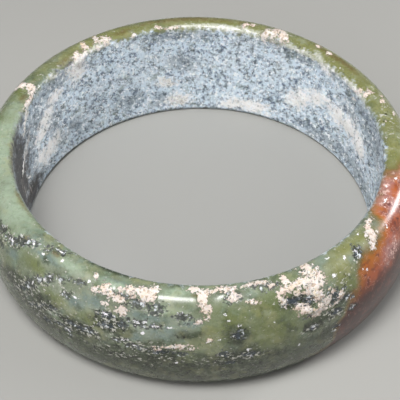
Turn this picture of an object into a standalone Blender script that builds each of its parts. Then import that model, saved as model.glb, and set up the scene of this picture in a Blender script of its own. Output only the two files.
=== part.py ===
"""Jade bracelet: one plain round bangle of nephrite, cut from a single block and polished.

The bangle lies on its flat underside. Its hole is along +Z, and the origin is on the hole's
axis, at the underside. The section is a D: the wall of the hole is straight and opens a little
upwards, the outside is a full curve, and the two meet in a rounded inner edge with a narrow flat
land beside it, at the rim above and at the foot below. The rim isn't quite parallel to the foot.
Chips and crusts of old burial deposit break the polished face, mostly near the rim.
"""

import math

import bmesh
import bpy

MM = 0.001

# Driving sizes
BORE_DIAMETER = 60.0 * MM       # across the hole at the foot: what goes over a hand
BORE_FLARE = 0.7 * MM           # how much further out the wall of the hole is at the rim
HEIGHT = 20.0 * MM              # foot to rim, on the hole's axis
WALL = 7.3 * MM                 # from the hole at the foot to the widest part of the outside
BELLY_HEIGHT = 10.2 * MM        # the widest part of the outside, above the foot
INNER_EDGE_RADIUS = 1.0 * MM    # rounding between the wall of the hole and the two lands
RIM_LAND = 1.0 * MM             # flat land beside the inner edge, above
FOOT_LAND = 2.0 * MM            # the same below: the bangle rests on it
RIM_TILT = math.radians(1.1)    # the rim's plane against the foot's plane
RIM_HIGH_SIDE = math.radians(197)

# How finely the form is faceted
STEPS_ROUND = 156
BORE_STEPS = 6
EDGE_STEPS = 3
UPPER_STEPS = 10
LOWER_STEPS = 7

# Crusts stand up from the stone. Each has its angle round the ring, its way out over the rim
# from the top of the hole's wall (less than zero is down the wall), its length round the ring,
# its width across and its rise.
CRUSTS = (
    (62.0, 1.7 * MM, 4.6 * MM, 4.2 * MM, 0.45 * MM),     # back rim, seen on the outline
    (66.0, 1.4 * MM, 3.2 * MM, 3.4 * MM, 0.40 * MM),
    (74.3, 2.0 * MM, 2.6 * MM, 2.8 * MM, 0.20 * MM),
    (122.5, 1.5 * MM, 3.4 * MM, 3.4 * MM, 0.20 * MM),    # left rim, down into the hole
    (133.5, 0.2 * MM, 4.0 * MM, 4.6 * MM, 0.35 * MM),
    (159.5, 0.8 * MM, 5.0 * MM, 2.4 * MM, 0.25 * MM),
    (21.0, -10.0 * MM, 4.0 * MM, 4.2 * MM, 0.20 * MM),   # a slanting band in the hole
    (29.5, -8.4 * MM, 7.0 * MM, 4.2 * MM, 0.20 * MM),
    (40.5, -7.4 * MM, 6.0 * MM, 4.0 * MM, 0.20 * MM),
    (51.0, -10.2 * MM, 5.0 * MM, 4.2 * MM, 0.20 * MM),
    (245.5, 4.6 * MM, 4.0 * MM, 3.0 * MM, 0.20 * MM),    # front, on the shoulder
    (250.0, 5.8 * MM, 3.2 * MM, 3.8 * MM, 0.20 * MM),
    (255.0, 3.6 * MM, 6.0 * MM, 3.0 * MM, 0.20 * MM),
    (270.8, 4.0 * MM, 3.6 * MM, 5.0 * MM, 0.20 * MM),
    (277.4, 2.8 * MM, 4.0 * MM, 3.2 * MM, 0.20 * MM),
    (285.5, 2.2 * MM, 5.4 * MM, 2.6 * MM, 0.20 * MM),
    (300.8, 2.6 * MM, 2.8 * MM, 2.8 * MM, 0.30 * MM),    # beside the horseshoe
    (306.0, 8.6 * MM, 2.6 * MM, 2.6 * MM, 0.20 * MM),
    (322.5, 3.6 * MM, 3.0 * MM, 3.6 * MM, 0.25 * MM),    # right shoulder
    (19.0, 3.0 * MM, 2.8 * MM, 2.6 * MM, 0.20 * MM),     # right rim
)

# The largest crust runs in a horseshoe on the front shoulder, open towards the left.
HORSESHOE_ANGLE = 296.8
HORSESHOE_WAY = 6.5 * MM
HORSESHOE_LENGTH = 7.4 * MM
HORSESHOE_WIDTH = 7.0 * MM
HORSESHOE_BAND = 2.8 * MM
HORSESHOE_RISE = 0.35 * MM
HORSESHOE_LUMPS = 9
HORSESHOE_ENDS = math.radians(140)     # each end, turned from the bend's middle at the right

# Chips are hollows, given in the same way as crusts, with their depth.
CHIPS = (
    (155.3, 2.3 * MM, 3.4 * MM, 3.0 * MM, 0.50 * MM),    # left rim
    (129.8, 1.9 * MM, 2.6 * MM, 2.6 * MM, 0.30 * MM),
    (24.6, 2.9 * MM, 2.8 * MM, 2.6 * MM, 0.30 * MM),     # right rim
)

# Worn strips are rows of shallow pits where the polish has gone. Each has its angle and way at
# one end, the same at the other, its width and its depth.
WORN_STRIPS = (
    (209.5, 7.0 * MM, 231.0, 3.2 * MM, 2.4 * MM, 0.12 * MM),
    (224.0, 10.5 * MM, 240.0, 5.0 * MM, 2.4 * MM, 0.12 * MM),
)


def clear_scene():
    """Take out whatever the scene holds."""
    for old in list(bpy.data.objects):
        bpy.data.objects.remove(old, do_unlink=True)


def nephrite():
    """Polished olive-green nephrite."""
    material = bpy.data.materials.new("nephrite")
    material.use_nodes = True
    shader = material.node_tree.nodes["Principled BSDF"]
    shader.inputs["Base Color"].default_value = (0.15, 0.20, 0.09, 1.0)
    shader.inputs["Roughness"].default_value = 0.25
    shader.inputs["Metallic"].default_value = 0.0
    shader.inputs["IOR"].default_value = 1.61
    return material


def section():
    """The D section as points (radius, height, way), once round.

    It starts at the foot end of the hole's wall. The way is the length along the section
    from the top of that wall: below zero down the wall, above zero out over the rim and down
    the outside to the foot.
    """
    quarter = math.pi / 2
    foot_radius = BORE_DIAMETER / 2
    rim_radius = foot_radius + BORE_FLARE
    belly_radius = foot_radius + WALL
    rim_land_end = rim_radius + INNER_EDGE_RADIUS + RIM_LAND
    foot_land_end = foot_radius + INNER_EDGE_RADIUS + FOOT_LAND
    wall_top = HEIGHT - INNER_EDGE_RADIUS

    points = []
    for i in range(BORE_STEPS):
        share = i / BORE_STEPS
        radius = foot_radius + BORE_FLARE * share
        points.append((radius, INNER_EDGE_RADIUS + (wall_top - INNER_EDGE_RADIUS) * share))
    for i in range(EDGE_STEPS + 1):
        turn = quarter * i / EDGE_STEPS
        radius = rim_radius + INNER_EDGE_RADIUS * (1 - math.cos(turn))
        points.append((radius, wall_top + INNER_EDGE_RADIUS * math.sin(turn)))
    for i in range(UPPER_STEPS):
        turn = quarter * i / UPPER_STEPS
        radius = rim_land_end + (belly_radius - rim_land_end) * math.sin(turn)
        points.append((radius, BELLY_HEIGHT + (HEIGHT - BELLY_HEIGHT) * math.cos(turn)))
    for i in range(LOWER_STEPS + 1):
        turn = quarter * i / LOWER_STEPS
        radius = foot_land_end + (belly_radius - foot_land_end) * math.cos(turn)
        points.append((radius, BELLY_HEIGHT * (1 - math.sin(turn))))
    for i in range(EDGE_STEPS):
        turn = quarter * i / EDGE_STEPS
        radius = foot_radius + INNER_EDGE_RADIUS * (1 - math.sin(turn))
        points.append((radius, INNER_EDGE_RADIUS * (1 - math.cos(turn))))

    way = -math.dist(points[0], points[BORE_STEPS])
    placed = []
    for i, point in enumerate(points):
        if i:
            way += math.dist(points[i - 1], point)
        placed.append((point[0], point[1], way))
    return placed


def mound(angle, way, spot):
    """How far a crust or chip lifts the surface here: its full rise in its middle, none past its edge."""
    spot_angle, spot_way, length, width, rise = spot
    round_ring = math.remainder(angle - math.radians(spot_angle), math.tau)
    along = round_ring * (BORE_DIAMETER / 2 + WALL / 2)
    out = (2 * along / length) ** 2 + (2 * (way - spot_way) / width) ** 2
    if out >= 1:
        return 0.0
    return rise * (1 - out) ** 0.75


def horseshoe():
    """The horseshoe crust as a row of round lumps that overlap along its bend."""
    lumps = []
    middle_radius = BORE_DIAMETER / 2 + WALL / 2
    for i in range(HORSESHOE_LUMPS):
        turn = HORSESHOE_ENDS * (2 * i / (HORSESHOE_LUMPS - 1) - 1)
        along = math.cos(turn) * (HORSESHOE_LENGTH - HORSESHOE_BAND) / 2
        across = math.sin(turn) * (HORSESHOE_WIDTH - HORSESHOE_BAND) / 2
        lumps.append((
            HORSESHOE_ANGLE + math.degrees(along / middle_radius),
            HORSESHOE_WAY + across,
            HORSESHOE_BAND,
            HORSESHOE_BAND,
            HORSESHOE_RISE,
        ))
    return lumps


def worn_strips():
    """The worn strips as rows of round pits that overlap by half."""
    pits = []
    middle_radius = BORE_DIAMETER / 2 + WALL / 2
    for start_angle, start_way, end_angle, end_way, width, depth in WORN_STRIPS:
        length = math.hypot(math.radians(end_angle - start_angle) * middle_radius, end_way - start_way)
        spaces = math.ceil(2 * length / width)
        for i in range(spaces + 1):
            share = i / spaces
            pit_angle = start_angle + (end_angle - start_angle) * share
            pits.append((pit_angle, start_way + (end_way - start_way) * share, width, width, depth))
    return pits


def relief(angle, way, crusts, hollows):
    """Crusts and hollows together, in metres out of the polished face."""
    raised = max(mound(angle, way, spot) for spot in crusts)
    sunk = max(mound(angle, way, spot) for spot in hollows)
    return raised - sunk


def bracelet():
    """The whole bangle: the section carried round the hole's axis, with its crusts and chips."""
    profile = section()
    rows = len(profile)
    crusts = CRUSTS + tuple(horseshoe())
    hollows = CHIPS + tuple(worn_strips())
    mesh = bpy.data.meshes.new("bracelet")
    build = bmesh.new()
    rings = []
    for step in range(STEPS_ROUND):
        angle = math.tau * step / STEPS_ROUND
        ring = []
        for row, (radius, height, way) in enumerate(profile):
            before = profile[row - 1]
            after = profile[(row + 1) % rows]
            run = math.hypot(after[0] - before[0], after[1] - before[1])
            outward = -(after[1] - before[1]) / run
            upward = (after[0] - before[0]) / run
            lift = relief(angle, way, crusts, hollows)
            lifted_radius = radius + outward * lift
            lifted_height = height + upward * lift
            x = lifted_radius * math.cos(angle)
            y = lifted_radius * math.sin(angle)
            towards_high_side = x * math.cos(RIM_HIGH_SIDE) + y * math.sin(RIM_HIGH_SIDE)
            stretch = 1 + math.tan(RIM_TILT) * towards_high_side / HEIGHT
            ring.append(build.verts.new((x, y, lifted_height * stretch)))
        rings.append(ring)
    for step, ring in enumerate(rings):
        following = rings[(step + 1) % STEPS_ROUND]
        for row in range(rows):
            row_after = (row + 1) % rows
            build.faces.new((ring[row], ring[row_after], following[row_after], following[row]))
    bmesh.ops.recalc_face_normals(build, faces=build.faces)
    build.to_mesh(mesh)
    build.free()
    mesh.materials.append(nephrite())
    mesh.shade_smooth()
    ring_object = bpy.data.objects.new("bracelet", mesh)
    bpy.context.scene.collection.objects.link(ring_object)
    return ring_object


clear_scene()
bracelet()
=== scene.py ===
# A bangle of nephrite jade from a burial, lying on its flat underside. The stone is still polished
# outside, has turned grey and frosty in the hole, has a russet zone on the right, and carries
# crusts of hard cream-coloured deposit. Lengths are in millimetres until MM makes them metres.

import math

import bpy
import numpy as np
from mathutils import Matrix, Vector, noise


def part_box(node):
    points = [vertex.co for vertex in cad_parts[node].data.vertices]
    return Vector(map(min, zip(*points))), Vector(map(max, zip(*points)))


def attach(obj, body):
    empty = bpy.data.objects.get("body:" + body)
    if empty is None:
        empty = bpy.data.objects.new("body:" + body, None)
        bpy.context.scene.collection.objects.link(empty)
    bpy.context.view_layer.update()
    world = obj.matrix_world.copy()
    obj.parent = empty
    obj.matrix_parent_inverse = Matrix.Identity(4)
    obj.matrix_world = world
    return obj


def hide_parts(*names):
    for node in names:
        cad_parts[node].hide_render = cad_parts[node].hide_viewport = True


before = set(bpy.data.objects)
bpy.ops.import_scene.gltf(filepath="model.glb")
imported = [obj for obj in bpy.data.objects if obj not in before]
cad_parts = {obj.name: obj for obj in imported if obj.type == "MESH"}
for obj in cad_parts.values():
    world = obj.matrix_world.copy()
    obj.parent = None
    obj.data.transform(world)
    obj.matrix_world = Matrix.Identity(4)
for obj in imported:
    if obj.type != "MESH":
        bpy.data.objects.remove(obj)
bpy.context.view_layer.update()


# The camera looks down at 45 degrees from 23 cm with a long lens, and the bangle is a little wider
# than the picture.

MM = 0.001

CAMERA_DISTANCE = 234.0
CAMERA_ELEVATION = math.radians(45.31)
CAMERA_ROLL = math.radians(0.53)
CAMERA_AIM = Vector((0.2, -3.6, 10.0))
BANGLE_MIDDLE = Vector((0.0, 0.0, 10.0))
LENS = 123.1
SENSOR = 36.0
NEAREST_SEEN = 10.0

camera = bpy.data.objects.new("camera", bpy.data.cameras.new("camera"))
camera.data.lens = LENS
camera.data.sensor_width = SENSOR
camera.data.clip_start = NEAREST_SEEN * MM
away = Vector((0.0, -math.cos(CAMERA_ELEVATION), math.sin(CAMERA_ELEVATION)))
camera_place = BANGLE_MIDDLE + CAMERA_DISTANCE * away
looking = (CAMERA_AIM - camera_place).to_track_quat("-Z", "Y").to_matrix().to_4x4()
rolled = Matrix.Rotation(-CAMERA_ROLL, 4, "Z")
camera.matrix_world = Matrix.Translation(camera_place * MM) @ looking @ rolled
bpy.context.scene.collection.objects.link(camera)
bpy.context.scene.camera = camera


# The bangle is one piece, cut from a block with sand and cord and polished by hand. Its section is
# a D: a straight wall in the hole, a rounded inner edge, a narrow flat land and a full outer curve.

FOOT_BORE_RADIUS = 30.0
RIM_BORE_RADIUS = 30.7
HEIGHT = 20.0
BELLY_HEIGHT = 10.2
INNER_EDGE_RADIUS = 1.0
RIM_LAND = 1.0
FOOT_LAND = 2.0
RIM_SLOPE = math.tan(math.radians(1.1))
RIM_HIGH_SIDE = math.radians(197)
MIDDLE_RADIUS = 34.0                # a ring's length is measured at this radius
ARC_POINTS = 90

bracelet_low, bracelet_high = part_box("bracelet")
BELLY_RADIUS = (bracelet_high[0] - bracelet_low[0]) / 2 / MM

# Places on it are an angle round the ring and a way across: 0 where the wall of the hole meets the
# rim, below 0 down that wall, above 0 out over the rim and down the outside.
COLUMNS = 850
FRONT = math.radians(270)           # the columns stand closest together here
FRONT_CROWDING = 0.25
ROW_SPACINGS = (                    # from this way to that way, one row each so many mm
    (-18.0, 0.0, 0.5),
    (0.0, 16.0, 0.25),
    (16.0, 29.6, 0.85),
)


def arc(centre, reach, start, end):
    """Points of an ellipse's arc in the section, from one turn to another, in degrees."""
    turns = np.radians(np.linspace(start, end, ARC_POINTS))
    return np.stack([centre[0] + reach[0] * np.cos(turns), centre[1] + reach[1] * np.sin(turns)], 1)


edge = INNER_EDGE_RADIUS
rim_land_end = RIM_BORE_RADIUS + edge + RIM_LAND
foot_land_end = FOOT_BORE_RADIUS + edge + FOOT_LAND
outline = np.concatenate([
    [[FOOT_BORE_RADIUS, edge]],
    arc((RIM_BORE_RADIUS + edge, HEIGHT - edge), (edge, edge), 180, 90),
    arc((rim_land_end, BELLY_HEIGHT), (BELLY_RADIUS - rim_land_end, HEIGHT - BELLY_HEIGHT), 90, 0),
    arc((foot_land_end, BELLY_HEIGHT), (BELLY_RADIUS - foot_land_end, BELLY_HEIGHT), 0, -90)[1:],
    arc((FOOT_BORE_RADIUS + edge, edge), (edge, edge), 270, 180)[:-1],
])
steps = np.hypot(*np.diff(outline, axis=0).T)
outline_way = np.concatenate([[0.0], np.cumsum(steps)]) - steps[0]

rows = np.concatenate([np.arange(start, end, spacing) for start, end, spacing in ROW_SPACINGS])
turn_evenly = np.linspace(0, math.tau, COLUMNS, endpoint=False)
columns = turn_evenly - FRONT_CROWDING * np.sin(turn_evenly - FRONT)
angle, way = np.meshgrid(columns, rows, indexing="ij")

SLOPE_REACH = 0.15                  # the surface's slope is taken this far to either side


def on_section(at):
    """The radius and height of the smooth form at these ways."""
    return np.interp(at, outline_way, outline[:, 0]), np.interp(at, outline_way, outline[:, 1])


radius, height = on_section(way)
ahead_radius, ahead_height = on_section(way + SLOPE_REACH)
behind_radius, behind_height = on_section(way - SLOPE_REACH)
run = np.hypot(ahead_radius - behind_radius, ahead_height - behind_height)
outward = (behind_height - ahead_height) / run
upward = (ahead_radius - behind_radius) / run


def placed(lift):
    """Where the surface is, lifted by so many mm off the smooth form."""
    x = (radius + outward * lift) * np.cos(angle)
    y = (radius + outward * lift) * np.sin(angle)
    z = height + upward * lift
    towards_high_side = x * math.cos(RIM_HIGH_SIDE) + y * math.sin(RIM_HIGH_SIDE)
    return np.stack([x, y, z * (1 + RIM_SLOPE * towards_high_side / HEIGHT)], axis=-1)


smooth_places = placed(0.0)


def lumps(size, octaves=2, shift=0.0):
    """Noise over the surface, about -1 to 1, with lumps of this size."""
    points = smooth_places.reshape(-1, 3) / size + shift
    values = [noise.fractal(Vector(point), 1.0, 2.0, octaves) for point in points]
    return np.array(values).reshape(angle.shape)


def roughened(listing):
    """Lumps of several sizes together. Each has its share, its size, its octaves and its shift."""
    return sum(share * lumps(size, octaves, shift) for share, size, octaves, shift in listing)


FAR_OUTSIDE = -2.0


def spots(listing):
    """How far inside the nearest of the listed spots each place is: 1 in its middle, 0 at its edge.

    A spot is its angle in degrees, its way, its length, its width, and how far its length is
    turned from running round the ring towards the foot.
    """
    field = np.full(angle.shape, FAR_OUTSIDE)
    for spot_angle, spot_way, length, width, turned in listing:
        along = (angle - math.radians(spot_angle) + math.pi) % math.tau - math.pi
        along = along * MIDDLE_RADIUS
        across = way - spot_way
        cos, sin = math.cos(math.radians(turned)), math.sin(math.radians(turned))
        lengthwise = (along * cos + across * sin) / (length / 2)
        widthwise = (across * cos - along * sin) / (width / 2)
        field = np.maximum(field, 1 - np.hypot(lengthwise, widthwise))
    return field


def eased(field, low, high):
    """0 below low, 1 above high, and smooth between."""
    share = np.clip((field - low) / (high - low), 0, 1)
    return share * share * (3 - 2 * share)


# The deposit is a hard cream to pinkish crust of lime and clay, left where the polish was broken.
# It stands up to half a millimetre off the stone and crumbles at its edges.

RAISED = (                          # rise, and the mounds that rise by it
    (0.45, ((62.0, 1.7, 4.6, 4.2, 0), (66.0, 1.4, 3.2, 3.4, 0))),
    (0.35, (
        (133.5, 0.2, 4.0, 4.6, 0), (295.5, 4.4, 6.6, 2.8, 0), (300.4, 6.4, 3.0, 5.4, 0),
        (297.4, 8.7, 5.8, 2.8, 0),
    )),
    (0.25, (
        (159.5, 0.8, 5.0, 2.4, 0), (300.8, 2.6, 2.8, 2.8, 0), (322.5, 3.6, 3.0, 3.6, 0),
    )),
    (0.20, (
        (74.3, 2.0, 2.6, 2.8, 0), (122.5, 1.5, 3.4, 3.4, 0), (21.0, -10.0, 4.0, 4.2, 0),
        (29.5, -8.4, 7.0, 4.2, 0), (40.5, -7.4, 6.0, 4.0, 0), (51.0, -10.2, 5.0, 4.2, 0),
        (245.5, 4.6, 4.0, 3.0, 0), (250.0, 5.8, 3.2, 3.8, 0), (255.0, 3.6, 6.0, 3.0, 0),
        (270.8, 4.0, 3.6, 5.0, 0), (277.4, 2.8, 4.0, 3.2, 0), (285.5, 2.2, 5.4, 2.6, 0),
        (306.0, 8.6, 2.6, 2.6, 0), (19.0, 3.0, 2.8, 2.6, 0),
    )),
)

CRUSTS = (
    # the horseshoe on the front shoulder
    (293.0, 2.4, 2.6, 0.9, 90), (292.6, 4.2, 3.6, 1.8, 0), (290.6, 5.6, 2.2, 1.0, 70),
    (296.5, 4.0, 5.4, 1.7, 0), (300.2, 2.2, 2.6, 2.2, 40), (301.6, 3.4, 1.8, 2.2, 0),
    (299.6, 5.0, 3.2, 1.9, 0), (296.0, 5.4, 3.0, 0.9, 12), (299.8, 6.7, 2.6, 2.0, 20),
    (302.0, 5.0, 1.4, 1.8, 0), (298.2, 6.1, 2.0, 1.0, 20), (294.3, 7.2, 0.9, 0.8, 0),
    (296.2, 8.2, 3.0, 1.5, 15), (300.0, 9.0, 3.6, 1.9, 0), (302.2, 8.3, 1.8, 2.1, 0),
    (299.0, 9.9, 2.0, 0.9, 0), (304.3, 7.4, 1.0, 0.9, 0), (304.6, 9.7, 1.0, 0.7, 0),
    (306.2, 8.6, 1.5, 1.3, 0), (303.4, 6.6, 1.0, 0.6, 30),
    # the front left shoulder
    (242.0, 3.0, 1.4, 0.6, 60), (243.4, 5.0, 1.5, 1.2, 0), (245.6, 4.3, 1.7, 1.6, 20),
    (247.6, 4.9, 1.3, 1.5, 0), (249.9, 5.3, 1.8, 1.4, 20), (250.9, 6.9, 1.5, 1.7, 0),
    (246.4, 6.6, 1.3, 0.8, 0), (252.8, 3.7, 3.4, 1.7, -5), (255.6, 3.6, 2.6, 2.2, 0),
    (257.6, 3.4, 1.9, 2.7, 0), (249.4, 3.8, 1.4, 0.9, 0),
    # the fork at the front of the rim, and what follows it to the right
    (269.2, 2.0, 2.8, 1.2, 8), (272.3, 2.5, 2.0, 1.3, -20), (270.6, 3.8, 2.6, 1.5, 90),
    (271.4, 5.2, 2.4, 1.5, 90), (271.5, 6.6, 1.3, 0.7, -25), (269.8, 7.2, 1.5, 1.0, -40),
    (276.2, 2.1, 3.4, 1.3, 5), (278.7, 3.5, 1.5, 1.8, 20), (282.9, 4.7, 1.9, 0.8, 20),
    (283.0, 2.0, 2.6, 0.7, 0), (286.2, 2.0, 3.0, 0.9, 15), (288.8, 2.8, 1.6, 0.8, 0),
    # the long thin line lower down
    (262.0, 12.2, 3.2, 0.7, -8), (265.0, 11.9, 3.0, 1.0, -6), (268.0, 12.2, 1.4, 0.6, -20),
    (260.3, 12.7, 1.1, 0.8, -30), (272.3, 10.4, 1.5, 0.7, -35),
    # the wedge on the right
    (321.0, 5.0, 1.3, 1.4, 0), (322.4, 3.7, 3.6, 1.5, -62), (325.0, 2.2, 3.2, 1.0, -15),
    # the back of the rim, from right to left
    (9.5, 2.0, 0.7, 0.6, 0), (13.5, 4.4, 1.1, 0.7, 40), (18.2, 3.1, 1.9, 1.0, 35),
    (21.2, 3.8, 0.9, 0.8, 0), (23.0, 1.3, 1.5, 0.9, 30), (23.7, 2.4, 1.5, 0.9, 30),
    (25.5, 0.8, 1.3, 1.3, 0), (45.0, 2.8, 1.0, 0.9, 0), (49.6, 3.3, 1.3, 0.9, 0),
    (61.2, 1.8, 3.2, 2.4, 50), (64.0, 1.4, 3.6, 2.9, 0), (66.4, 0.9, 2.0, 2.2, 0),
    (62.8, 2.9, 3.2, 1.5, 0), (74.3, 2.0, 1.6, 1.7, 0), (72.0, 2.7, 1.1, 0.8, 0),
    (98.5, 0.8, 2.8, 0.6, 0), (103.0, 1.2, 1.7, 0.7, 20), (112.0, 0.4, 1.5, 0.9, -20),
    (121.9, 1.3, 1.8, 2.4, 0), (124.0, 2.3, 1.1, 2.4, 0), (125.2, 0.4, 1.1, 1.0, 0),
    (128.6, 1.9, 0.9, 2.7, 0), (131.5, 0.3, 4.0, 1.5, -20), (135.0, -1.2, 3.4, 3.0, 0),
    (134.6, -2.0, 3.0, 2.6, 0), (134.0, 0.9, 2.6, 1.0, -30), (156.2, 1.0, 3.4, 1.1, -15),
    (153.9, 2.3, 1.6, 1.9, 0), (154.6, 4.0, 2.8, 1.7, 90), (160.5, 0.6, 4.0, 0.8, 0),
    (163.6, -0.7, 2.8, 1.5, -40), (166.2, -2.3, 2.8, 1.3, -50),
    # the back of the outside, which the photo hides
    (57.6, 8.8, 2.2, 0.9, 10), (60.2, 9.8, 1.4, 1.2, 0), (112.0, 12.2, 2.6, 0.8, -8),
    (138.6, 8.2, 1.7, 1.3, 0), (140.8, 9.6, 1.2, 0.9, 0), (88.0, 14.6, 1.1, 0.8, 0),
    (187.0, 9.4, 1.6, 1.0, 20),
    # the wall of the hole
    (97.0, -16.1, 2.6, 1.4, 0), (101.0, -11.3, 2.2, 0.9, 15), (27.5, -1.7, 1.6, 0.9, -20),
    (172.5, -7.6, 5.0, 0.8, -30), (169.0, -12.6, 3.0, 0.6, 35),
)

# where the crust is whole, without gaps
FIRM = (
    (322.4, 3.7, 3.6, 1.6, -62), (256.0, 3.4, 3.6, 1.8, 0), (271.0, 3.6, 2.6, 1.4, 90),
)

CRUST_SPREAD = 0.06
CRUST_CRUMBLE = ((0.6, 1.1, 2, 0.0), (0.5, 0.5, 2, 7.0))
CRUST_FIRMNESS = 0.6
CRUST_THICKNESS = 0.10
CRUST_LUMPS = ((0.12, 0.8, 3, 3.0), (0.07, 0.45, 2, 0.0))

crust = spots(CRUSTS) + CRUST_SPREAD + roughened(CRUST_CRUMBLE)
crust = crust + CRUST_FIRMNESS * eased(spots(FIRM), 0.0, 0.5)
crust_cover = eased(crust, 0.0, 0.4)
crust_lift = crust_cover * (CRUST_THICKNESS + roughened(CRUST_LUMPS))
mound_lift = np.zeros(angle.shape)
for rise, mounds in RAISED:
    mound_lift = np.maximum(mound_lift, rise * eased(spots(mounds), 0.0, 0.75))


# Where the polish has gone the stone is pitted and dark, in strips and patches along the front,
# and the pits' broken faces are pale, their brightest grains partly painted glints. Pits are a
# tenth of a millimetre deep, and the chips 0.4.

PITTED = (
    (209.5, 6.6, 3.2, 1.8, -12), (214.5, 6.3, 3.8, 1.6, -12), (218.2, 4.9, 3.8, 1.4, -32),
    (221.4, 3.9, 2.4, 1.1, -20), (226.0, 2.9, 2.0, 1.2, -20), (229.6, 2.3, 2.8, 1.3, -10),
    (211.0, 8.6, 1.8, 1.2, 0), (224.6, 10.1, 3.4, 2.0, -60), (227.0, 8.4, 2.8, 1.5, -35),
    (230.0, 7.1, 2.4, 1.5, -30), (233.4, 6.0, 3.2, 0.9, -15), (238.2, 5.1, 3.2, 0.9, -15),
    (222.5, 12.2, 3.6, 0.8, -35), (226.0, 14.2, 4.0, 0.8, -30), (231.5, 12.0, 3.6, 0.8, -20),
    (234.0, 14.6, 2.6, 0.8, -20), (229.6, 15.8, 2.6, 0.8, -30), (238.4, 13.0, 3.4, 1.2, 10),
    (236.5, 15.2, 2.4, 1.4, 80), (242.6, 12.8, 2.2, 1.4, 0), (251.4, 4.6, 3.0, 1.6, 0),
    (254.6, 5.4, 5.4, 1.8, 0), (259.2, 5.8, 2.4, 2.0, 0), (247.4, 8.4, 2.6, 1.4, 0),
    (247.0, 10.4, 2.8, 1.4, -10), (251.6, 9.2, 2.6, 1.0, -15), (255.0, 8.6, 4.2, 1.3, 0),
    (259.6, 8.5, 2.2, 0.9, 0), (265.8, 6.5, 2.2, 1.7, 20), (251.0, 12.5, 2.6, 1.0, -15),
    (254.8, 13.1, 3.0, 1.4, 0), (260.4, 13.4, 3.2, 0.9, -10), (266.0, 13.4, 2.6, 0.8, 0),
    (278.8, 10.0, 1.8, 1.8, 0), (275.4, 13.6, 2.4, 1.4, 0), (281.6, 14.4, 3.0, 1.2, 10),
    (277.0, 15.8, 2.0, 0.8, 0), (287.4, 2.6, 4.2, 1.8, 10), (278.4, 3.6, 2.4, 1.6, 0),
    (292.8, 6.2, 3.4, 1.3, 10), (297.2, 6.9, 2.8, 1.8, 0), (298.0, 9.6, 2.6, 1.6, 0),
    (304.5, 8.3, 4.0, 2.6, 20), (308.6, 10.0, 2.6, 1.2, 35), (298.0, 12.4, 1.6, 1.0, 0),
    (304.5, 11.4, 2.2, 1.2, 20), (304.5, 15.0, 1.6, 0.8, 0), (315.5, 4.1, 2.6, 1.6, 90),
    (309.6, 12.8, 1.6, 1.6, 0), (235.8, 8.0, 1.6, 1.0, 0),
    # the back of the outside, which the photo hides
    (33.0, 9.0, 2.2, 1.2, 0), (52.0, 11.0, 3.8, 1.6, -10), (57.0, 12.4, 3.0, 1.0, 0),
    (78.0, 9.4, 2.4, 1.1, 10), (104.0, 13.0, 3.6, 1.3, -15), (126.0, 10.6, 2.6, 1.5, 20),
    (131.0, 12.2, 3.0, 0.9, 0), (160.0, 11.0, 2.8, 1.2, 10), (172.0, 13.2, 3.4, 1.0, -10),
    (188.0, 11.6, 2.4, 1.3, 0), (196.0, 13.0, 3.0, 1.2, -20), (202.0, 10.0, 2.0, 1.0, 0),
)

# round the pits, where the polish is only scuffed: fine specks, thickly strewn
SCUFFED = (
    (220.0, 13.0, 10.0, 6.0, -35), (230.0, 13.6, 12.0, 7.0, -25), (241.0, 13.4, 8.0, 4.0, 0),
    (254.0, 12.8, 9.0, 3.4, -15), (263.0, 15.2, 8.0, 2.6, 0), (281.0, 14.6, 6.0, 2.4, 0),
    (298.0, 12.4, 5.0, 3.0, 0), (304.5, 11.6, 5.0, 3.0, 20), (213.0, 6.6, 8.0, 3.0, -12),
    (227.0, 9.4, 6.0, 3.0, -50), (248.0, 9.8, 6.0, 4.0, 0), (238.0, 7.4, 6.0, 2.4, 0),
    (250.0, 16.0, 12.0, 3.0, 0), (272.0, 15.4, 9.0, 3.0, 0), (311.0, 6.4, 6.0, 4.0, 0),
    (12.0, 2.6, 14.0, 4.0, 0), (46.0, 1.0, 20.0, 2.0, 0), (147.0, 0.8, 12.0, 2.6, 0),
    (55.0, 11.4, 10.0, 4.0, 0), (104.0, 12.8, 9.0, 3.0, 0), (128.5, 11.2, 8.0, 4.0, 0),
    (170.0, 12.6, 10.0, 4.0, 0), (194.0, 12.4, 10.0, 4.0, -20),
)
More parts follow.
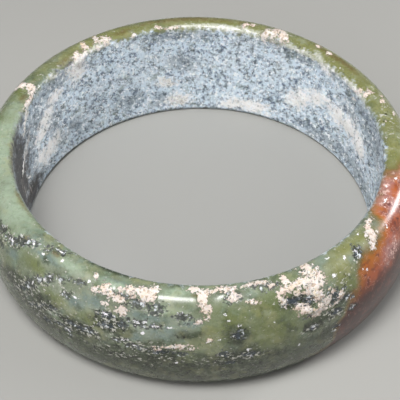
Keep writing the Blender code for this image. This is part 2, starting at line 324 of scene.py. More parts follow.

# fresh breaks, each well under a millimetre across, painted near white: partly their own pale
# colour, partly painted glints
GLINTS = (
    (214.6, 6.3, 1.4, 0.7, -10), (216.6, 4.4, 0.9, 0.4, 15), (221.2, 3.9, 0.6, 0.5, 0),
    (225.6, 4.2, 0.5, 0.4, 0), (229.4, 2.2, 0.8, 0.5, 0), (231.4, 3.4, 0.6, 0.5, 0),
    (208.8, 6.1, 0.6, 0.4, 0), (229.0, 7.6, 0.8, 0.7, 0), (230.3, 6.8, 0.5, 0.7, 0),
    (225.1, 9.7, 0.5, 0.8, 0), (235.2, 7.6, 0.6, 0.5, 0), (238.6, 7.6, 1.2, 0.4, 0),
    (236.3, 15.0, 0.5, 1.0, 0), (242.0, 3.1, 0.8, 0.9, 0), (240.9, 4.3, 0.7, 0.5, 0),
    (246.7, 8.3, 1.2, 0.6, 0), (249.2, 8.2, 0.7, 0.6, 0), (254.8, 8.3, 1.1, 0.6, 0),
    (256.8, 8.0, 0.7, 0.5, 0), (259.2, 8.4, 1.3, 0.5, 0), (262.4, 8.4, 1.2, 0.4, 0),
    (256.2, 10.0, 0.9, 0.5, 20), (265.2, 6.0, 0.9, 0.5, 0), (252.0, 12.2, 1.6, 0.4, -20),
    (254.3, 13.0, 1.2, 0.6, 0), (276.2, 6.1, 0.5, 0.4, 0), (276.9, 7.2, 0.5, 0.4, 0),
    (279.3, 8.2, 0.7, 0.5, 0), (274.5, 10.5, 0.6, 0.5, 0), (280.8, 10.5, 0.6, 0.4, 0),
    (281.4, 13.2, 0.5, 0.7, 0), (281.8, 14.8, 1.6, 0.5, 20), (276.3, 13.7, 0.4, 0.4, 0),
    (264.3, 15.7, 0.5, 0.7, 0), (288.0, 8.7, 0.4, 0.4, 0), (294.0, 15.4, 0.4, 0.8, 0),
    (298.1, 12.4, 0.7, 0.6, 0), (304.2, 15.8, 0.9, 0.8, 0), (309.6, 12.7, 0.8, 0.7, 0),
    (306.0, 5.1, 0.7, 0.6, 0), (307.3, 2.2, 1.1, 0.5, 0), (311.1, 3.6, 0.8, 0.5, -20),
    (315.7, 3.8, 0.7, 0.9, 0), (314.8, 6.9, 0.5, 0.5, 0), (316.0, 7.7, 0.5, 0.5, 0),
    (304.9, 11.4, 0.5, 0.4, 0), (309.6, 10.6, 0.9, 0.4, 0), (320.2, 2.0, 0.8, 0.4, 0),
    (345.5, 2.9, 0.8, 0.5, 0), (336.0, 2.4, 1.2, 0.6, 0), (341.5, 1.8, 0.8, 0.4, 0),
    (328.6, 4.8, 0.9, 0.5, -30), (331.2, 3.3, 0.5, 0.4, 0), (286.0, 4.7, 0.4, 0.4, 0),
    (53.0, 10.8, 0.9, 0.5, 0), (58.2, 12.4, 0.6, 0.5, 0), (104.6, 13.0, 0.8, 0.5, 0),
    (127.0, 10.6, 0.6, 0.5, 0), (131.6, 12.2, 0.9, 0.4, 0), (171.4, 13.2, 0.8, 0.5, 0),
    (80.0, 9.2, 0.6, 0.4, 0), (195.0, 12.6, 0.7, 0.5, 0),
)

# larger breaks at the rim
CHIPS = (
    (155.3, 2.3, 3.2, 2.8, 0), (129.8, 1.9, 2.2, 2.2, 0), (24.6, 2.9, 2.2, 2.2, 0),
    (315.5, 4.1, 2.2, 1.2, 90),
)
CHIP_DEPTH = 0.4
CHIP_BREAKS = ((0.2, 1.0, 2, 2.0),)
PIT_DEPTH = 0.08
PIT_EDGES = ((0.6, 1.1, 2, 11.0), (0.4, 0.5, 2, 5.0))
PIT_HOLLOWS = ((0.08, 0.6, 3, 9.0),)

pitted = spots(PITTED) + roughened(PIT_EDGES)
pit_cover = eased(pitted, -0.1, 0.6)
pit_lift = -pit_cover * (PIT_DEPTH + roughened(PIT_HOLLOWS))
chip_lift = -CHIP_DEPTH * eased(spots(CHIPS) + roughened(CHIP_BREAKS), 0.0, 0.5)


# In the hole, damp soil has turned the stone to a grey, frosted skin, up to an uneven line along
# the rim's inner edge, with soft cream patches and a brown stain at the left. The wall's two ends
# are darkened partly with painted shade, and a painted pale line along the back of the rim's inner
# edge stands for a highlight.

SKIN_EDGE = 0.3                     # the skin ends at this way at the rim
SKIN_EDGE_BELOW = 28.6              # and at this way under the foot
TURNED_UNDER = 20.0                 # beyond this way the outside faces the foot
SKIN_FRAYS = ((0.6, 3.0, 2, 4.0), (0.35, 0.9, 2, 6.0))

altered = SKIN_EDGE - way + roughened(SKIN_FRAYS)
altered = np.where(way > TURNED_UNDER, way - SKIN_EDGE_BELOW, altered)

# soft cream deposit, in patches low on the wall and thin along the skin's upper edge, and a
# painted highlight line along the back of the rim's inner edge
CREAM_AND_RIM_HIGHLIGHT = (
    (20.5, -9.6, 5.4, 4.4, 30), (27.0, -8.4, 6.0, 3.6, 0), (34.0, -8.6, 6.0, 3.6, 0),
    (41.0, -6.8, 3.4, 1.2, 0), (45.0, -8.2, 4.0, 3.0, -30), (50.0, -9.8, 4.4, 3.0, -30),
    (53.5, -11.4, 3.6, 3.4, -50), (71.0, -16.4, 8.0, 2.6, 0), (78.0, -17.0, 4.0, 1.6, 0),
    (97.0, -16.0, 4.4, 2.6, 0), (101.0, -11.4, 3.4, 2.0, 15), (152.0, -13.6, 6.0, 3.2, -15),
    (158.0, -13.0, 3.5, 2.4, 0), (152.5, -6.6, 5.4, 2.6, -20), (156.0, -8.6, 4.6, 2.4, 0),
    (134.5, -1.6, 4.0, 4.4, 0), (171.5, -8.0, 8.6, 1.4, -30), (146.0, -4.0, 4.0, 2.0, 0),
    # the spots at 80 and 94 degrees, way 1, are no deposit but a painted highlight line
    (145.0, 0.2, 3.6, 0.8, 20), (80.0, 1.0, 17.0, 1.3, 0), (94.0, 1.0, 6.0, 0.6, 0),
    (52.0, 0.4, 16.0, 0.8, 0), (44.0, 0.2, 6.0, 1.4, 30), (27.0, 0.4, 8.0, 1.2, 0),
    (126.0, 0.6, 6.0, 0.9, 0),
)
# brown stain, broad at the left end of the wall, where painted shade darkens it, and in small spots
# on the rim; the band at (93.0, 2.9) is a painted dark reflection on the back rim's outer edge
BROWN_AND_SHADE = (
    # the wall's left end: brown stain, darkened to near black by painted shade
    (180.0, -8.0, 10.0, 17.0, 0), (170.0, -16.5, 8.0, 4.0, 0), (174.0, -4.6, 5.0, 5.0, 0),
    (218.4, 4.2, 2.4, 1.4, -20), (228.4, 3.0, 2.0, 1.2, 0), (269.6, 3.1, 2.2, 1.0, 0),
    # (93.0, 2.9): a painted dark reflection on the back rim's outer edge, which faces away
    (93.0, 2.9, 26.0, 2.0, 0), (40.0, 3.0, 16.0, 1.8, 0), (160.0, 1.6, 3.0, 1.6, 0),
    (115.0, 1.8, 4.6, 1.6, 0), (138.0, 1.4, 4.4, 1.7, 0), (206.0, 1.2, 8.0, 1.0, 0),
    (186.0, 0.4, 14.0, 1.4, 0),
)
# pale streaks down through that stain
STREAKED = (
    (175.8, -12.5, 7.0, 0.7, 85), (173.6, -14.0, 5.0, 0.5, 80), (170.4, -14.4, 4.4, 0.7, 70),
    (178.0, -10.0, 6.0, 0.6, 85), (166.5, -7.0, 8.0, 0.7, -50), (162.5, -4.2, 5.0, 0.6, -45),
    (164.5, -13.0, 5.0, 0.7, -65),
)
# darker where the skin is thin and darker stone shows through; the spots at 12 and at 155 to 170
# degrees are partly painted shade at the wall's two ends
DIM_AND_SHADE = (
    # (12.0, -3.4): at the wall's right end, partly painted shade
    (22.0, -15.6, 26.0, 4.6, 0), (40.0, -16.4, 14.0, 3.6, 0), (12.0, -3.4, 20.0, 7.0, 0),
    (147.0, -13.4, 6.0, 3.0, 40), (147.5, -9.0, 5.0, 6.0, 0), (148.0, -4.6, 5.0, 2.6, 40),
    # (166.0, -10.0), (158.0, -5.0) and (158.0, -16.4): partly painted shade near the wall's left
    # end
    (166.0, -10.0, 7.0, 11.0, 0), (158.0, -5.0, 5.0, 8.0, -50), (158.0, -16.4, 8.0, 2.6, 0),
    (30.0, -5.0, 5.0, 1.8, 0), (95.0, -7.0, 7.0, 4.0, 0), (137.0, -14.0, 8.0, 2.6, 35),
    # (158.0, -3.6): partly painted shade near the wall's left end
    (158.0, -3.6, 7.0, 3.0, 20), (104.0, -15.4, 4.0, 3.0, 0), (115.0, -14.0, 7.0, 4.0, 0),
    (50.0, -0.8, 26.0, 2.0, 0), (98.0, -0.8, 12.0, 2.2, 0), (150.0, -1.6, 14.0, 3.4, -10),
    # (163.0, -6.0): partly painted shade near the wall's left end
    (163.0, -6.0, 5.0, 12.0, -20),
)


# On the right the soil's iron has stained the outside russet: ochre along the stain's upper edge,
# then rose brown, then dark red brown towards the foot.

RUSSET_EDGE_ANGLES = (
    297, 303, 308, 311, 313, 316.5, 322, 325, 328, 330, 332, 344, 348, 353, 356, 360, 363, 365, 371,
)
RUSSET_EDGE_WAYS = (
    27.0, 21.0, 12.5, 10.3, 8.5, 6.0, 5.8, 4.8, 3.3, 2.0, 1.0, 0.6, 2.4, 5.0, 8.5, 11.5, 16.0, 20.0,
    27.0,
)
RUSSET_WANDER = math.radians(3.0)   # the stain's edge wanders this far round the ring
RUSSET_WAVES = ((1.0, 4.0, 2, 17.0),)
RUSSET_FRAYS = ((0.6, 2.4, 2, 8.0), (0.4, 0.8, 2, 1.0))
PAST_THE_FOOT = 40.0
JUST_PAST_RIGHT = math.radians(20)  # the stain runs on past 360 degrees, up to here

strayed = (angle + RUSSET_WANDER * roughened(RUSSET_WAVES)) % math.tau
strayed = np.where(strayed < JUST_PAST_RIGHT, strayed + math.tau, strayed)
russet_edge = np.interp(
    strayed, np.radians(RUSSET_EDGE_ANGLES), RUSSET_EDGE_WAYS, PAST_THE_FOOT, PAST_THE_FOOT
)
russet = way - russet_edge + roughened(RUSSET_FRAYS)

SCORCHED_FROM = 10.5
SCORCH_CLOUDS = ((1.6, 5.0, 2, 13.0),)
scorched = way - SCORCHED_FROM + roughened(SCORCH_CLOUDS)

# where the stain is bleached to rose; the lilac rose at (340.0, 1.6) and (336.0, 3.8) on the rim is
# a painted sheen
ROSE_AND_SHEEN = (
    (340.0, 1.6, 16.0, 3.4, 0), (336.0, 3.8, 4.0, 3.0, 0), (326.0, 8.6, 6.0, 5.0, 0),
    (352.0, 3.0, 10.0, 5.0, 0),
)


# The stone's own clouds, a few millimetres to a few centimetres long, as the block had them. The
# polish still shows them: pale grey-green at the left, straw along the rim at the back and right,
# olive in front, and bluish, misty and nearly black ones between. A few listed spots are painted
# light instead: a highlight glow on the front left shoulder and shade low on the outside.

PALE_AND_HIGHLIGHT = (
    (207.0, 3.2, 15.0, 5.6, 5), (182.0, 2.0, 26.0, 5.0, 0), (190.0, 5.0, 16.0, 8.0, 0),
    # (249.6, 3.6): a painted highlight, the bluish-white glow of the softbox on the front left
    # shoulder
    (234.0, 3.4, 6.0, 2.0, 0), (264.0, 2.6, 6.0, 2.0, 0), (249.6, 3.6, 8.0, 1.5, 0),
    (262.0, 5.6, 6.0, 1.6, 0),
)
STRAW = (
    (40.0, 1.6, 46.0, 8.0, 0), (80.0, 1.6, 46.0, 6.0, 0), (120.0, 1.6, 40.0, 6.0, 0),
    (308.5, 4.6, 5.0, 5.0, 30), (320.0, 3.0, 5.0, 3.0, 0), (313.5, 2.6, 7.0, 3.0, 0),
    (12.0, 3.0, 20.0, 7.0, 0), (357.0, 2.4, 14.0, 6.0, 0), (206.0, 1.5, 4.0, 1.4, 0),
)
OLIVE = (
    (288.0, 10.0, 10.0, 12.0, 0), (243.0, 10.4, 5.0, 3.0, 0), (310.0, 8.0, 5.0, 4.0, 40),
    (158.0, 3.0, 5.0, 4.0, 0), (273.0, 8.6, 4.0, 3.0, 0), (225.0, 6.6, 6.0, 2.8, 0),
    (232.0, 9.6, 5.0, 3.0, 0), (286.0, 6.6, 5.0, 4.0, 0), (277.0, 8.0, 8.0, 7.0, 0),
    (175.0, 3.4, 14.0, 5.0, 0), (66.0, 11.0, 14.0, 9.0, 0), (96.0, 8.0, 10.0, 6.0, 0),
    (140.0, 12.0, 12.0, 8.0, 0), (178.0, 12.0, 9.0, 6.0, 0),
)
MIST = (
    (232.0, 9.0, 8.0, 6.0, 0), (242.0, 8.6, 8.0, 5.0, 0), (251.0, 10.6, 8.0, 3.6, 0),
    (258.0, 9.0, 9.0, 5.0, 0), (266.0, 7.4, 7.0, 4.0, 0), (274.0, 7.0, 4.0, 2.6, 0),
    (226.0, 5.6, 6.0, 4.0, 0), (232.0, 12.4, 6.0, 2.4, -20), (48.0, 9.0, 8.0, 5.0, 0),
    (110.0, 11.0, 8.0, 4.0, 0), (152.0, 13.0, 8.0, 4.0, 0),
)
COOL_AND_HIGHLIGHT_TINT = (
    (227.0, 4.2, 6.0, 1.8, -10), (216.0, 7.9, 4.0, 1.8, -20), (238.6, 8.4, 3.4, 2.4, 0),
    (243.0, 7.0, 4.6, 2.4, 0), (256.5, 7.2, 8.0, 1.6, 0), (262.5, 9.4, 7.0, 3.0, 0),
    (224.0, 13.0, 5.0, 2.4, 0), (268.0, 7.6, 3.6, 1.4, 0), (275.6, 8.9, 2.4, 1.6, 0),
    # (248.0, 3.2): a bluish tint painted under that same highlight glow
    (291.0, 8.6, 4.0, 3.0, 0), (248.0, 3.2, 6.0, 1.4, 0), (254.0, 11.0, 4.0, 2.0, 0),
    (148.0, 0.9, 12.0, 1.8, 0), (221.5, 3.2, 6.0, 3.0, -15), (84.0, 12.0, 10.0, 5.0, 0),
    (118.0, 9.0, 8.0, 4.0, 0), (156.0, 9.0, 9.0, 5.0, 0),
)
# nearly black clouds; the broad bands below the belly are partly darker stone, partly painted shade
DARK_AND_SHADE = (
    (270.0, 18.4, 64.0, 9.0, 0), (226.0, 16.5, 16.0, 6.0, 0), (304.0, 16.0, 12.0, 5.0, 0),
    (303.5, 11.6, 4.0, 3.0, 20), (279.0, 10.2, 3.6, 4.0, 0), (248.0, 10.0, 5.0, 4.0, 0),
    (293.0, 6.2, 5.0, 2.0, 0), (220.5, 13.6, 3.4, 2.4, 0), (239.5, 13.4, 6.0, 4.0, 0),
    (261.0, 13.8, 6.0, 3.0, 0), (298.5, 11.8, 4.0, 3.4, 0), (306.5, 9.4, 5.0, 3.0, 30),
    (297.5, 6.8, 3.0, 2.0, 0), (315.5, 4.2, 3.0, 2.0, 90), (228.0, 12.0, 6.0, 3.0, -30),
    # (247.0, 1.0): a painted dark reflection on the rounded inner edge
    (217.0, 12.6, 7.0, 4.0, -20), (247.0, 1.0, 9.0, 1.2, 0), (279.0, 14.4, 8.0, 4.4, 0),
    (289.0, 16.0, 9.0, 3.6, 0), (259.0, 15.4, 7.0, 2.6, 0), (267.0, 9.6, 4.0, 1.8, 0),
    # broad bands below the belly at the back: partly darker stone, partly painted shade
    (90.0, 18.8, 60.0, 8.0, 0), (150.0, 18.4, 40.0, 7.0, 0), (30.0, 18.6, 40.0, 7.0, 0),
    (55.0, 12.0, 7.0, 4.0, 0), (104.0, 13.4, 7.0, 3.6, 0), (129.0, 11.2, 6.0, 4.0, 0),
    (170.0, 13.2, 9.0, 4.0, 0), (195.0, 13.0, 7.0, 4.0, -20),
)


# The whole mesh: columns of points round the ring, with the polish's slight waves, crusts, pits
# and chips lifting them.

POLISH_WAVES = ((0.02, 6.0, 2, 0.0),)
WALL_GRAIN = ((0.04, 0.9, 3, 12.0),)
FACES_DOWN = -0.5                   # where the surface's upward share is less than this
FOOT_STARTS = 0.5                   # relief fades out from this height down to the flat underside

lift = roughened(POLISH_WAVES) + mound_lift + crust_lift + pit_lift + chip_lift
lift = lift + eased(altered, -0.2, 0.6) * roughened(WALL_GRAIN)
lift = np.where(upward < FACES_DOWN, lift * eased(height, 0.0, FOOT_STARTS), lift)
places = placed(lift) * MM
places[..., 2] = np.maximum(places[..., 2], 0.0)

column_count, row_count = angle.shape
numbers = np.arange(column_count * row_count).reshape(column_count, row_count)
next_column = np.roll(numbers, -1, axis=0)
next_row = np.roll(numbers, -1, axis=1)
next_both = np.roll(next_column, -1, axis=1)
faces = np.stack([numbers, next_row, next_both, next_column], axis=-1).reshape(-1, 4)
mesh = bpy.data.meshes.new("bracelet")
mesh.from_pydata(places.reshape(-1, 3).tolist(), [], faces[:, ::-1].tolist())
mesh.shade_smooth()

ZONES = {
    "crust": crust, "pitted": pitted, "glint": spots(GLINTS), "altered": altered, "russet": russet,
    "scorched": scorched, "pale_and_highlight": spots(PALE_AND_HIGHLIGHT), "straw": spots(STRAW), "olive": spots(OLIVE),
    "cool_and_highlight_tint": spots(COOL_AND_HIGHLIGHT_TINT), "dark_and_shade": spots(DARK_AND_SHADE), "brown_and_shade": spots(BROWN_AND_SHADE), "cream_and_rim_highlight": spots(CREAM_AND_RIM_HIGHLIGHT),
    "streaked": spots(STREAKED), "dim_and_shade": spots(DIM_AND_SHADE), "rose_and_sheen": spots(ROSE_AND_SHEEN), "mist": spots(MIST),
    "scuffed": spots(SCUFFED),
}
LEAST_STORED, MOST_STORED = -3, 6
for zone_name, field in ZONES.items():
    stored = mesh.attributes.new(zone_name, "FLOAT", "POINT")
    field = np.clip(field, LEAST_STORED, MOST_STORED)
    stored.data.foreach_set("value", field.astype(np.float32).ravel())
bracelet = bpy.data.objects.new("jade_bangle", mesh)
bpy.context.scene.collection.objects.link(bracelet)


# Nephrite, a tough stone of felted fibres, ground and polished by hand, then buried and worn. To
# the eye its polish is a soft, greasy gloss over clouded olive to grey-green a little below the
# surface, with dark flecks of iron and carbon. Crusts and the frosted skin have no gloss at all.

NEPHRITE_IOR = 1.61
SEE_INTO = 0.12
SEE_INTO_DEPTH = 1.2 * MM
SEE_INTO_COLOURS = (0.8, 1.0, 0.5)
FELT_DIP = (math.radians(-35), 0.0, 0.0)    # the felted fibres dip towards the back
FELT_STRETCH = (1.0, 2.2, 1.0)
WEAR_STRETCH = (1.5, 1.5, 1.0)              # rubbed specks are flatter than they are wide


def linear(code):
    """A colour written as an sRGB hex code, as the linear values the shader takes."""
    parts = [int(code[i:i + 2], 16) / 255 for i in (1, 3, 5)]
    return [c / 12.92 if c <= 0.04045 else ((c + 0.055) / 1.055) ** 2.4 for c in parts] + [1.0]


nephrite = bpy.data.materials.new("worn_nephrite")
nephrite.use_nodes = True
tree = nephrite.node_tree
shader = tree.nodes["Principled BSDF"]


def node(kind, inputs, output=0, **settings):
    """Add a node with its settings; each input is a value or another node's output."""
    made = tree.nodes.new("ShaderNode" + kind)
    for name, value in settings.items():
        setattr(made, name, value)
    for name, value in inputs.items():
        if isinstance(value, bpy.types.NodeSocket):
            tree.links.new(value, made.inputs[name])
        else:
            made.inputs[name].default_value = value
    return made.outputs[output]


where = node("TexCoord", {}, "Object")
felt = {"Vector": where, "Rotation": FELT_DIP, "Scale": FELT_STRETCH}
along_felt = node("Mapping", felt, vector_type="TEXTURE")
along_wear = node("Mapping", {"Vector": where, "Scale": WEAR_STRETCH}, vector_type="TEXTURE")


def patches(size, low, high, more=None, detail=4.0, rough=0.6, most=1.0, place=where):
    """Patches of this size in mm, from 0 to most, and more of them where more is high."""
    settings = {"Scale": 1 / (size * MM), "Detail": detail, "Roughness": rough}
    amount = node("TexNoise", {"Vector": place, **settings})
    if more is not None:
        amount = node("Math", {0: amount, 1: more})
    share = {"Value": amount, "From Min": low, "From Max": high, "To Max": most}
    return node("MapRange", share, interpolation_type="SMOOTHSTEP")


def grains(size, low, high):
    """Small broken faces of this size in mm, each with a level of its own, from 0 to 1."""
    stir = node("TexNoise", {"Vector": where, "Scale": 1 / (size * MM), "Detail": 2.0}, "Color")
    stirred = node("VectorMath", {0: stir, 1: (size * MM,) * 3, 2: where}, operation="MULTIPLY_ADD")
    face = node("TexVoronoi", {"Vector": stirred, "Scale": 1 / (size * MM)}, "Color")
    level = node("SeparateColor", {0: face})
    return node("MapRange", {"Value": level, "From Min": low, "From Max": high})


def zone(name, size, bite, low, high, most=1.0):
    """A zone's cover, from 0 to most, with an edge that noise of this size in mm bites into."""
    field = node("Attribute", {}, "Fac", attribute_name=name)
    settings = {"Scale": 1 / (size * MM), "Detail": 4.0, "Roughness": 0.65}
    noise_level = node("TexNoise", {"Vector": where, **settings})
    bitten = node("Math", {0: noise_level, 1: bite, 2: -bite / 2}, operation="MULTIPLY_ADD")
    bitten = node("Math", {0: field, 1: bitten})
    share = {"Value": bitten, "From Min": low, "From Max": high, "To Max": most}
    return node("MapRange", share, interpolation_type="SMOOTHSTEP")


def with_more(level, *covers):
    """How much more of a pattern there is: a level, and a share of each cover on top of it."""
    for cover, share in covers:
        level = node("Math", {0: cover, 1: share, 2: level}, operation="MULTIPLY_ADD")
    return level


def coated(colour, coats):
    """Lay each colour over what is below it, as thickly as its mask says."""
    colour = linear(colour) if isinstance(colour, str) else colour
    for mask, over in coats:
        over = linear(over) if isinstance(over, str) else over
        colour = node("Mix", {0: mask, 6: colour, 7: over}, 2, data_type="RGBA")
    return colour


# Where the small patterns gather: in clusters 2 mm across, in dark clouds and on worn places.
clusters = patches(2.2, 0.36, 0.64, detail=3.0)
more_here = with_more(-0.025, (clusters, 0.05))
less_here = with_more(0.025, (clusters, -0.05))
# dark clouds, and the painted shade below the belly
dark_and_shade_cover = zone("dark_and_shade", 2.0, 1.6, -0.6, 0.9)
worn_cover = zone("pitted", 1.4, 1.5, -1.4, 0.4)
scuffed = zone("scuffed", 1.4, 2.4, -0.5, 0.7)
more_mottles = with_more(-0.03, (dark_and_shade_cover, 0.16))
more_flecks = with_more(-0.22, (dark_and_shade_cover, 0.22), (worn_cover, 0.12), (scuffed, 0.16))
more_specks = with_more(-0.05, (scuffed, 0.09), (worn_cover, 0.06))

# The stone: clouds 2 to 7 mm across, one inside the other, then its felt and flecks. The felt's
# fibres and the rubbed specks are 0.05 to 0.2 mm wide, and are drawn at 0.4 to 0.6 mm to show.
stone = coated("#6C765A", [
    (patches(7.0, 0.38, 0.62, detail=5.0), "#777E6B"),
    (zone("mist", 2.0, 2.0, -0.5, 0.8, 0.8), "#929989"),
    (patches(2.6, 0.46, 0.66, detail=6.0, most=0.35), "#7F968C"),
    # bluish clouds, and a tint painted under the highlight glow on the front left shoulder
    (zone("cool_and_highlight_tint", 1.5, 2.0, -0.5, 0.9, 0.8), "#6E7E7A"),
    (zone("olive", 2.0, 2.0, -0.5, 0.8, 0.85), "#69713F"),
    # dark clouds of the stone, and the painted shade below the belly, in near black
    (zone("dark_and_shade", 2.5, 2.4, -0.5, 1.0, 0.94), "#1E2318"),
    (patches(2.4, 0.46, 0.68, more_mottles, 6.0, 0.7), "#3D4632"),
    (zone("straw", 2.0, 2.4, -0.5, 0.8, 0.85), "#7D7E49"),
    # pale clouds, and a painted highlight glow on the front left shoulder
    (zone("pale_and_highlight", 2.5, 2.0, -0.4, 0.8, 0.9), "#96A58F"),
    (patches(3.2, 0.50, 0.66, detail=5.0, most=0.35), "#9D9C73"),
    (patches(2.0, 0.50, 0.68, detail=6.0, rough=0.7, most=0.5), "#99A08B"),
    (patches(0.5, 0.46, 0.70, detail=5.0, rough=0.75, most=0.35), "#3E4634"),
    (patches(0.6, 0.56, 0.74, detail=5.0, rough=0.75, most=0.55), "#A9B09A"),
    # cream deposit, and the painted highlight line along the back of the rim
    (zone("cream_and_rim_highlight", 0.6, 3.0, -0.4, 0.8, 0.7), "#D2D4C8"),
    (patches(0.9, 0.53, 0.66, more_flecks, place=along_felt), "#191C14"),
    (patches(0.6, 0.46, 0.62, more_flecks, most=0.6), "#3E4534"),
    (patches(0.4, 0.60, 0.67, more_specks, 3.0, place=along_wear), "#B8B7AD"),
    # brown stain, and a painted dark reflection on the back rim's outer edge
    (zone("brown_and_shade", 0.9, 2.4, -0.2, 0.9, 0.6), "#64502D"),
    (zone("russet", 1.6, 2.4, -3.0, 0.2, 0.8), "#775B27"),
])

# The russet zone: iron hydroxides in the stone's outer millimetre, ochre at the upper edge, darker
# towards the foot, crossed by pale healed cracks. The cracks are 0.1 mm wide, drawn at 0.3 mm.
crack_side = patches(2.6, 0.49, 0.505, detail=3.0)
other_side = patches(2.6, 0.505, 0.52, detail=3.0)
cracks = node("Math", {0: crack_side, 1: other_side}, operation="SUBTRACT")
burnt = zone("scorched", 2.5, 4.0, -2.5, 2.0)
cracks = node("Math", {0: cracks, 1: with_more(0.6, (burnt, -0.4))}, operation="MULTIPLY")
rosy_and_sheen = zone("rose_and_sheen", 1.6, 3.0, -0.4, 0.8, 0.65)
more_blooms = with_more(-0.08, (rosy_and_sheen, 0.24))
more_burns = with_more(-0.14, (burnt, 0.16))
iron_stain = coated("#A95731", [
    (patches(3.0, 0.42, 0.60, detail=5.0), "#843D23"),
    (zone("russet", 1.6, 2.4, 3.4, 0.4), "#A7601D"),
    # bleached rose, with a painted lilac sheen on the rim
    (rosy_and_sheen, "#A78586"),
    (burnt, "#3D110A"),
    (patches(1.6, 0.50, 0.66, detail=5.0), "#60271A"),
    (cracks, "#CFA192"),
    (patches(0.6, 0.58, 0.66, more_blooms, 5.0, 0.7, most=0.85, place=along_felt), "#DBBAAF"),
    (patches(0.7, 0.56, 0.66, more_burns), "#2A120C"),
])

# The frosted skin: the felt laid bare by damp soil, so that its pale fibres and the dark gaps
# between them show. The fibres are about 0.1 mm wide, and are drawn at 0.5 to 1 mm to show.
frosted = coated("#55647A", [
    (patches(0.7, 0.36, 0.55, less_here, 7.0, 0.7, place=along_felt), "#D0DFEB"),
    (patches(4.0, 0.45, 0.65, most=0.4), "#E2EAF0"),
    (patches(1.0, 0.51, 0.63, more_here, 7.0, 0.75, place=along_felt, most=0.8), "#566063"),
    (patches(2.6, 0.54, 0.66, detail=6.0, rough=0.75, most=0.55), "#6F7A66"),
    # thin skin, and painted shade at the wall's two ends
    (zone("dim_and_shade", 2.0, 3.0, -0.6, 0.8, 0.5), "#5B646A"),
    # cream deposit, whiter on the wall, and the painted highlight line at the back rim
    (zone("cream_and_rim_highlight", 0.8, 4.0, -0.7, 0.6, 0.9), "#F4F0EC"),
    (patches(0.55, 0.53, 0.62, less_here, 5.0, 0.7, place=along_felt, most=0.85), "#F8FAFC"),
    (patches(0.5, 0.58, 0.67, more_here, 5.0, 0.7, place=along_felt, most=0.75), "#3C464C"),
    # brown stain, near black at the wall's left end with painted shade
    (zone("brown_and_shade", 1.5, 3.0, -1.2, 0.3, 0.93), "#261D17"),
    (zone("streaked", 0.5, 3.0, -0.2, 1.2, 0.6), "#B3AAA2"),
    (patches(0.8, 0.60, 0.72, detail=6.0, place=along_felt, most=0.6), "#CCCAC6"),
])

# The pits: broken felt, dark in its hollows and pale on its torn fibres and grains, which are
# 0.2 to 0.4 mm across and are drawn at 0.45 to 0.7 mm. The palest grains are partly painted glints.
pit_colour = coated("#4C504A", [
    (dark_and_shade_cover, "#363F46"),
    (patches(0.7, 0.50, 0.62, more_here, 5.0, 0.7, most=0.6), "#232826"),
    (patches(0.7, 0.56, 0.66, less_here, 5.0, 0.7, place=along_wear), "#868E93"),
    # pale grains and torn fibres, partly painted glints
    (grains(0.45, 0.90, 0.93), "#C9CDD0"),
    (patches(0.6, 0.635, 0.67, less_here, 4.0, 0.7, place=along_wear), "#F4F3F0"),
])

# The deposit: lime and clay, cream to pinkish with ochre tints, in grains of 0.3 to 0.4 mm with
# soil caught between them. On the frosted wall it is whiter.
crust_colour = coated("#DCD0C6", [
    (patches(2.0, 0.45, 0.62), "#E1CDC0"),
    (patches(1.4, 0.56, 0.68, detail=5.0, most=0.6), "#CDB98A"),
    (grains(0.4, 0.72, 0.75), "#E2DAD4"),
    (grains(0.35, 0.84, 0.87), "#B7A492"),
    (patches(0.5, 0.60, 0.66, detail=3.0, most=0.65), "#71655A"),
])
wall_crust = coated("#F8F6F3", [
    (patches(0.8, 0.50, 0.64, detail=5.0, most=0.8), "#CDC6BE"),
    (patches(0.5, 0.60, 0.68, detail=4.0, most=0.45), "#7E776D"),
])

# What lies over what, from the stone outwards.
russet_mask = zone("russet", 1.2, 3.0, -1.4, 1.5)
altered_mask = zone("altered", 1.0, 5.0, -0.8, 0.8)
pitted_mask = zone("pitted", 0.5, 5.0, -0.1, 0.6)
crust_mask = zone("crust", 0.4, 4.0, 0.0, 0.2)
# pale breaks painted near white: partly their own colour, partly painted glints
glint_mask = zone("glint", 0.45, 5.0, 0.1, 0.5)
colour = coated(stone, [
    (russet_mask, iron_stain),
    (altered_mask, frosted),
    (pitted_mask, pit_colour),
    (glint_mask, "#EDEBEE"),
    (crust_mask, coated(crust_colour, [(altered_mask, wall_crust)])),
])
tree.links.new(colour, shader.inputs["Base Color"])

# A waxy polish is a little uneven, the frosted skin is matt and a broken crust is dull as chalk.
WAXY_POLISH = 0.25
DULLER = (
    (patches(1.6, 0.35, 0.7), 0.31), (russet_mask, 0.30), (altered_mask, 0.62),
    (pitted_mask, 0.38), (glint_mask, 0.30), (crust_mask, 0.65),
)
roughness = WAXY_POLISH
for mask, value in DULLER:
    roughness = node("Mix", {0: mask, 2: roughness, 3: value})
tree.links.new(roughness, shader.inputs["Roughness"])

# Fine relief below what the mesh holds: where it is, its size and its depth, in millimetres.
EVERYWHERE = 1.0
FINE_RELIEF = (
    (EVERYWHERE, 0.9, 0.015),
    (altered_mask, 0.5, 0.10),
    (pitted_mask, 0.45, 0.16),
    (crust_mask, 0.40, 0.22),
)
relief = 0.0
for mask, size, depth in FINE_RELIEF:
    settings = {"Scale": 1 / (size * MM), "Detail": 4.0, "Roughness": 0.65}
    grain = node("TexNoise", {"Vector": where, **settings})
    grain = node("Math", {0: grain, 1: depth}, operation="MULTIPLY")
    relief = node("Math", {0: grain, 1: mask, 2: relief}, operation="MULTIPLY_ADD")
bump = node("Bump", {"Height": relief, "Distance": MM, "Strength": 1.0})
tree.links.new(bump, shader.inputs["Normal"])

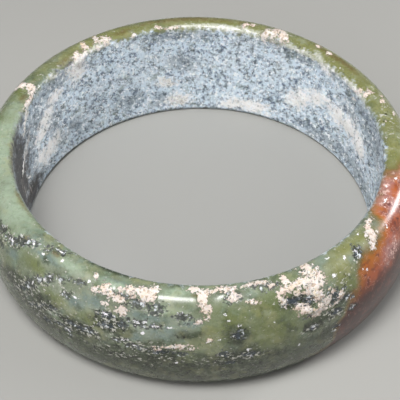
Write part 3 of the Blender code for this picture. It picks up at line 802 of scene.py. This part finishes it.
shader.inputs["IOR"].default_value = NEPHRITE_IOR
shader.inputs["Subsurface Weight"].default_value = SEE_INTO
shader.inputs["Subsurface Scale"].default_value = SEE_INTO_DEPTH
shader.inputs["Subsurface Radius"].default_value = SEE_INTO_COLOURS
mesh.materials.append(nephrite)
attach(bracelet, "root")
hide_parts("bracelet")


# A plain pale sweep of matt card under the bangle, as a studio has it. It is no part of the object,
# and reaches well past the edges of the picture.

FLOOR_REACH = 2000.0 * MM
CARD_COLOUR = "#9C9B97"
CARD_ROUGHNESS = 0.9

floor_corners = [
    (-FLOOR_REACH, -FLOOR_REACH, 0), (FLOOR_REACH, -FLOOR_REACH, 0),
    (FLOOR_REACH, FLOOR_REACH, 0), (-FLOOR_REACH, FLOOR_REACH, 0),
]
floor_mesh = bpy.data.meshes.new("floor")
floor_mesh.from_pydata(floor_corners, [], [(0, 1, 2, 3)])
floor = bpy.data.objects.new("floor", floor_mesh)
bpy.context.scene.collection.objects.link(floor)
card = bpy.data.materials.new("matt_card")
card.use_nodes = True
card_shader = card.node_tree.nodes["Principled BSDF"]
card_shader.inputs["Base Color"].default_value = linear(CARD_COLOUR)
card_shader.inputs["Roughness"].default_value = CARD_ROUGHNESS
floor_mesh.materials.append(card)


# Studio light: a softbox overhead, which draws the bright band on the front shoulder (its glow at
# the left partly painted) and the line along the back (helped by a painted pale line), a weaker one
# beside it at the left, a large dim one in front, a dim one at the right, a strip low at the right
# that draws the gloss on the russet (helped by a painted sheen), and an even pale surround.

SURROUND_COLOUR = "#DADDE2"
SURROUND_STRENGTH = 0.16
LAMPS = (
    # name, place, size across, power in watts
    ("key_softbox", (-50.0, -150.0, 424.0), 145.0, 1.68),
    ("left_softbox", (-140.0, -140.0, 392.0), 120.0, 0.4),
    ("front_fill", (-270.0, -350.0, 380.0), 420.0, 1.1),
    ("right_fill", (320.0, 20.0, 320.0), 300.0, 0.35),
    ("right_strip", (374.0, 143.0, 150.0), 75.0, 0.8),
)
for name, place, size, power in LAMPS:
    lamp = bpy.data.lights.new(name, "AREA")
    lamp.shape = "SQUARE"
    lamp.size = size * MM
    lamp.energy = power
    lamp_object = bpy.data.objects.new(name, lamp)
    lamp_object.location = Vector(place) * MM
    facing = (BANGLE_MIDDLE - Vector(place)).to_track_quat("-Z", "Y")
    lamp_object.rotation_euler = facing.to_euler()
    bpy.context.scene.collection.objects.link(lamp_object)
surround = bpy.data.worlds.new("surround")
surround.use_nodes = True
sky = surround.node_tree.nodes["Background"]
sky.inputs["Color"].default_value = linear(SURROUND_COLOUR)
sky.inputs["Strength"].default_value = SURROUND_STRENGTH
bpy.context.scene.world = surround
bpy.context.scene.view_settings.view_transform = "Standard"
